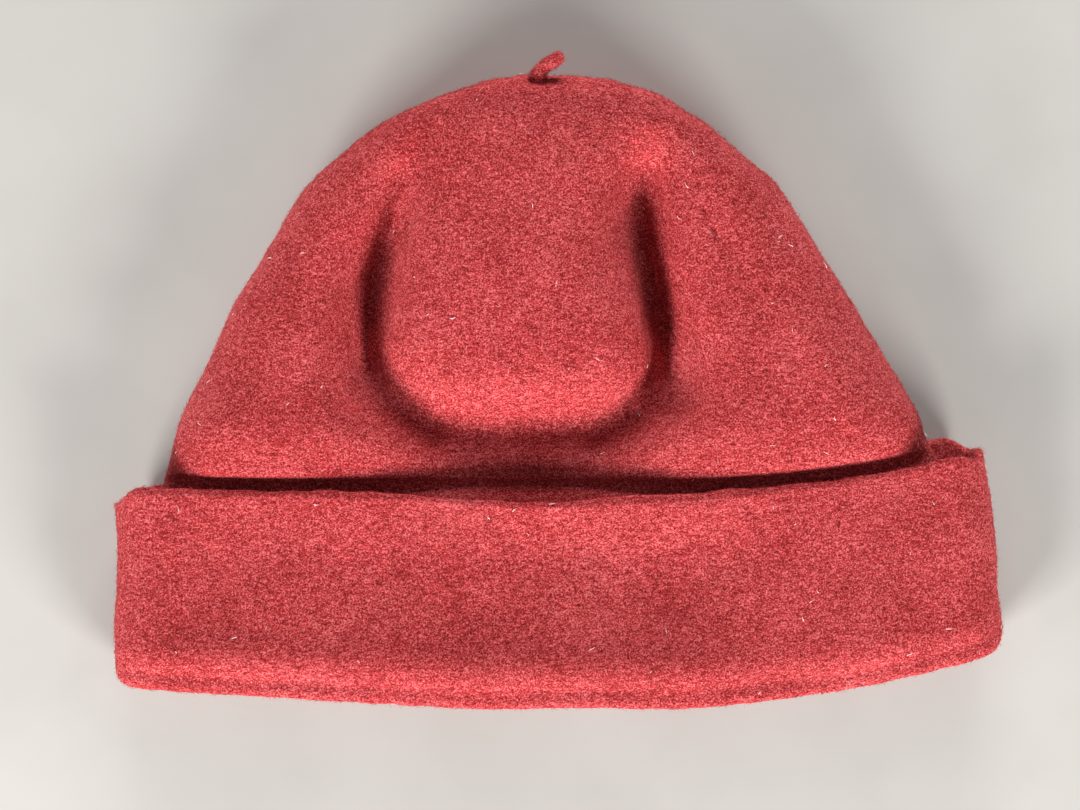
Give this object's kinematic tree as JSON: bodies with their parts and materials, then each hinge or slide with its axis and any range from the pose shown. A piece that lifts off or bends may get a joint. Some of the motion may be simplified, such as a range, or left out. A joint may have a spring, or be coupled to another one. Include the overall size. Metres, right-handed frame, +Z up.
{
  "type": "felt cap with turned-up cuff",
  "caption": "Soft crimson felt cap lying flat: domed crown with a U-shaped crease, deep turned-up cuff and a short felt stalk at the crown's end; hollow, with an open mouth.",
  "frame": {"origin": "middle of the underside of the whole hat, on the surface it lies on", "axes": "+X across the cuff, +Y from the mouth to the crown's end, +Z up, away from the surface"},
  "size_m": [0.2882, 0.2082, 0.0354],
  "materials": {
    "wool_felt": "fulled wool, crimson, hairy",
    "stalk_felt": "rolled wool felt, crimson, hairy"
  },
  "bodies": {
    "root": {"felt_cap": "wool_felt", "stalk": "stalk_felt"}
  },
  "joints": []
}
